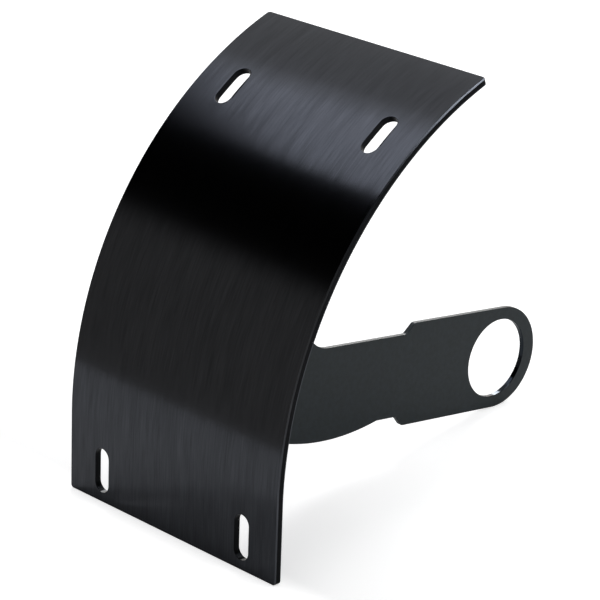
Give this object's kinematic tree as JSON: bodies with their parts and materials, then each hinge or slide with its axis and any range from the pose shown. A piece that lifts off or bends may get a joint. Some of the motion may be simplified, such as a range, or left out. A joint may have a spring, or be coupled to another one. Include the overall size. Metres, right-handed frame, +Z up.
{
  "type": "side mount license plate holder",
  "caption": "Side mount license plate holder: a curved slotted plate on a flat stepped arm whose round head has a bore for the wheel axle.",
  "frame": {"origin": "centre of the axle bore, midway through the arm's thickness", "axes": "+X along the axle bore and across the plate, -Y the side of the plate's front face, +Z up, with the holder standing on the plate's bottom edge and the round end of its arm"},
  "size_m": [0.103, 0.1824, 0.1544],
  "materials": {
    "brushed_black": "brushed along its length, black anodised",
    "satin_black": "smooth satin black coat",
    "coated_weld": "fine ripples under the black coat"
  },
  "bodies": {
    "root": {"curved_plate": "brushed_black", "axle_arm": "satin_black", "weld_bead_left": "coated_weld", "weld_bead_right": "coated_weld"}
  },
  "joints": []
}
